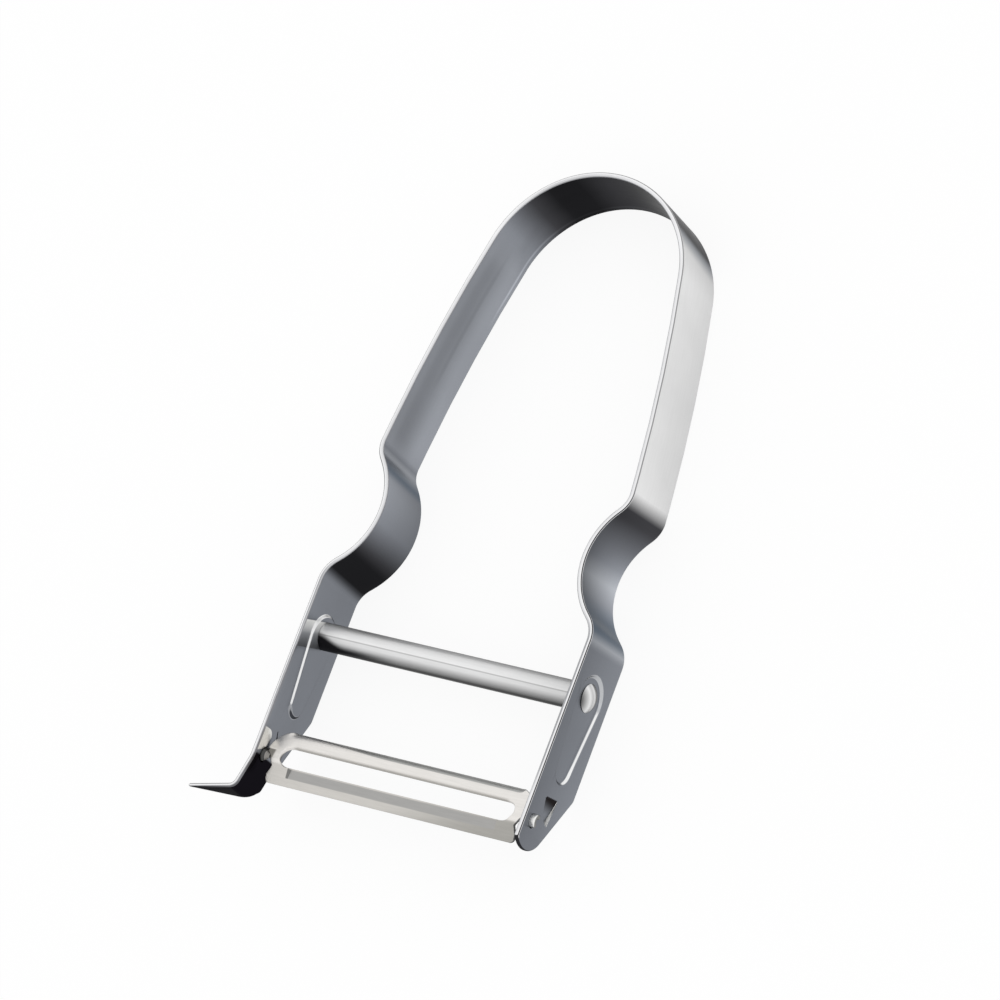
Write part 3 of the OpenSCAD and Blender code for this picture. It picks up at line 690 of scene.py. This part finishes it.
# painted shade on the curled back of the guard, and a painted highlight on it towards the left
curl = ny - across.step(-21, -3, 0.36, -0.02)
tone = tone.mix("b0b0ae", curl.step(0.42, 0.48) * along.step(2.5, 3.0))
tone = tone.mix("e8e6e2", curl.step(0.5, 0.56) * across.fade(-16, -8) * along.step(2.5, 3.0))
# painted shade on faces that look down
tone = tone.mix("2c2b2c", nz.fade(-0.2, 0.15))
# painted light and shade on the tangs: the left one darker, a painted highlight on the right one's top, and
# painted shade on their sides, undersides and roots
on_tang = from_middle.step(22.9, 23.0) * along.within(-1.4, -1.3, 1.3, 1.4)
tone = tone.mix(across.step(-1, 1).ramp(((0, "4c4c4b"), (1, "8c8c8a"))), on_tang)
tone = tone.mix("f2f2f0", on_tang * nz.step(0.3, 0.5) * across.step(22, 23))
tone = tone.mix("1c1c1e", on_tang * nz.fade(-0.1, 0.1) * abs(nx).fade(0.6, 0.8))
tone = tone.mix("1c1c1e", on_tang * across.step(-1, 1) * z.fade(9.45, 9.75))
root = across.fade(-22.1, -21.7) * along.within(-1.4, -1.2, 1.2, 1.4)
tone = tone.mix("6e6c67", root * across.step(-23.0, -22.9) * 0.85)
grain = noise(tree, where, 260, (1, 12, 12))
tone = tone.times(grain.step(0.25, 0.75, 0.96, 1.04))
tree.links.new(tone.out, shader.inputs["Base Color"])
tree.links.new(grain.step(0.3, 0.7, 0.32, 0.38).out, shader.inputs["Roughness"])
bump(tree, shader, grain, 0.1)
piece(blade_bm, "blade_sheet", "blade", "blade", blade_steel, smooth=40)


# Crossbar. A round bar of drawn and polished steel, which holds the legs apart between their two bosses. The
# rivets run into its bored ends, whose outer corners are broken.
bar_r, bar_end, broken = 2.2, 23.15, 0.15


def turned(profile, steps):
    """A mesh turned about the crossbar's line, from (X, radius) points."""
    bm = bmesh.new()
    verts = [bm.verts.new((a, bar_y, mid_h + r)) for a, r in profile]
    line = [bm.edges.new((a, b)) for a, b in zip(verts, verts[1:])]
    bmesh.ops.spin(
        bm, geom=verts + line, cent=(0, bar_y, mid_h), axis=(1, 0, 0), angle=2 * pi, steps=steps, use_merge=True,
        use_duplicate=False,
    )
    bmesh.ops.remove_doubles(bm, verts=bm.verts, dist=0.001)
    return bm


half_bar = [(bar_end - broken, bar_r), (bar_end, bar_r - broken), (bar_end, 0)]
rod = turned([(-a, r) for a, r in reversed(half_bar)] + half_bar, 96)

# Its steel, with light and shade painted round it: a painted highlight along its top with one thin grey line,
# painted shade under its near side and towards its left end, and a little painted shade towards its right end.
rod_steel, tree, shader, where, (x, y, z), (nx, ny, nz) = metal("rod steel", 0.4)
shader.inputs["Metallic"].default_value = 0.6
round_way, along = maths("ARCTAN2", -ny, nz) / pi + 0.5, x - bow_x
# painted highlights and shade by the way round the bar
tone = round_way.ramp(
    (
        (0.0, "8c8c8c"), (0.15, "8c8c8c"), (0.32, "dcdcdc"), (0.53, "eeeeee"),
        (0.553, "b4b4b4"), (0.575, "e2e2e2"),
        (0.64, "e0e0e0"), (0.9, "444444"), (0.97, "383838"), (1.0, "707070"),
    )
)
# a little painted shade towards the right end
tone = tone.times(along.step(5, 22, 1.0, 0.9))
shaded = (round_way - along.step(-23.4, -18.0, 0.5, 0.74)).step(-0.04, 0.12) * along.fade(-18, -8)
tone = tone.mix("1b1a1d", shaded)
grain = noise(tree, where, 300, (1, 10, 10))
tone = tone.times(grain.step(0.25, 0.75, 0.97, 1.03))
tree.links.new(tone.out, shader.inputs["Base Color"])
tree.links.new(grain.step(0.3, 0.7, 0.38, 0.44).out, shader.inputs["Roughness"])
piece(rod, "crossbar_rod", "frame", "crossbar", rod_steel, weight=50)


# Rivets. Two steel rivets with domed heads, driven through the bosses into the crossbar's ends. Only the heads
# show: each stands on its boss with a short edge under the dome.
head_r, head_h, head_x = 2.25, 1.0, 24.05
dome_r = (head_r ** 2 + head_h ** 2) / (2 * head_h)
half_dome = acos((dome_r - head_h) / dome_r)
head_profile = [(23.9, 0), (23.9, 2.15), (23.97, 2.23), (head_x, head_r)]
head_profile += arc(head_x + head_h - dome_r, 0, dome_r, half_dome, 0, 14)[1:]

# Their steel. Bright, with light and shade painted on from one fixed direction: painted shade on the side that
# looks up and at the lower rim.
rivet_steel, tree, shader, where, (x, y, z), (nx, ny, nz) = metal("rivet steel", 0.35)
lit = nz * -0.75 + ny * 0.42 + 0.88
tone = lit.ramp(
    ((0.0, "303030"), (0.22, "3a3a3a"), (0.6, "f0f0f0"), (0.75, "cccccc"), (0.93, "ececec"), (1.0, "9c9c9c"))
)
grain = noise(tree, where, 400, (1, 1, 1))
tone = tone.times(grain.step(0.25, 0.75, 0.96, 1.04))
tree.links.new(tone.out, shader.inputs["Base Color"])
tree.links.new(grain.step(0.3, 0.7, 0.32, 0.38).out, shader.inputs["Roughness"])
for sign, name in ((1, "rivet_right"), (-1, "rivet_left")):
    head = turned([(a * sign, r) for a, r in head_profile], 64)
    piece(head, name + "_head", "frame", name, rivet_steel, weight=50)


# Stage. A plain white floor under plain soft light. The camera and the steel see it white, and it keeps the
# peeler's shadow.
floor_mesh = bmesh.new()
bmesh.ops.create_grid(floor_mesh, x_segments=1, y_segments=1, size=3)
mesh = bpy.data.meshes.new("floor")
floor_mesh.to_mesh(mesh)
floor_mesh.free()
white = bpy.data.materials.new("floor white")
white.use_nodes = True
tree = white.node_tree
paint = tree.nodes["Principled BSDF"]
paint.inputs["Base Color"].default_value = (0.96, 0.96, 0.96, 1)
paint.inputs["Roughness"].default_value = 0.9
paint.inputs["Specular IOR Level"].default_value = 0
seen = add_node(tree, "LightPath", {}, {}).outputs
direct = (Sock(tree, seen["Is Camera Ray"]) + Sock(tree, seen["Is Glossy Ray"])) * 0.9
glow = Sock(tree, add_node(tree, "Emission", {}, {}).outputs[0])
blend = add_node(tree, "MixShader", {}, {0: direct, 1: Sock(tree, paint.outputs[0]), 2: glow})
tree.links.new(blend.outputs[0], tree.nodes["Material Output"].inputs[0])
mesh.materials.append(white)
floor = bpy.data.objects.new("floor", mesh)
bpy.context.scene.collection.objects.link(floor)

world = bpy.data.worlds.new("sky")
world.use_nodes = True
world.node_tree.nodes["Background"].inputs[0].default_value = (1, 1, 1, 1)
world.node_tree.nodes["Background"].inputs[1].default_value = 1.0
bpy.context.scene.world = world

bpy.context.scene.view_settings.view_transform = "Standard"
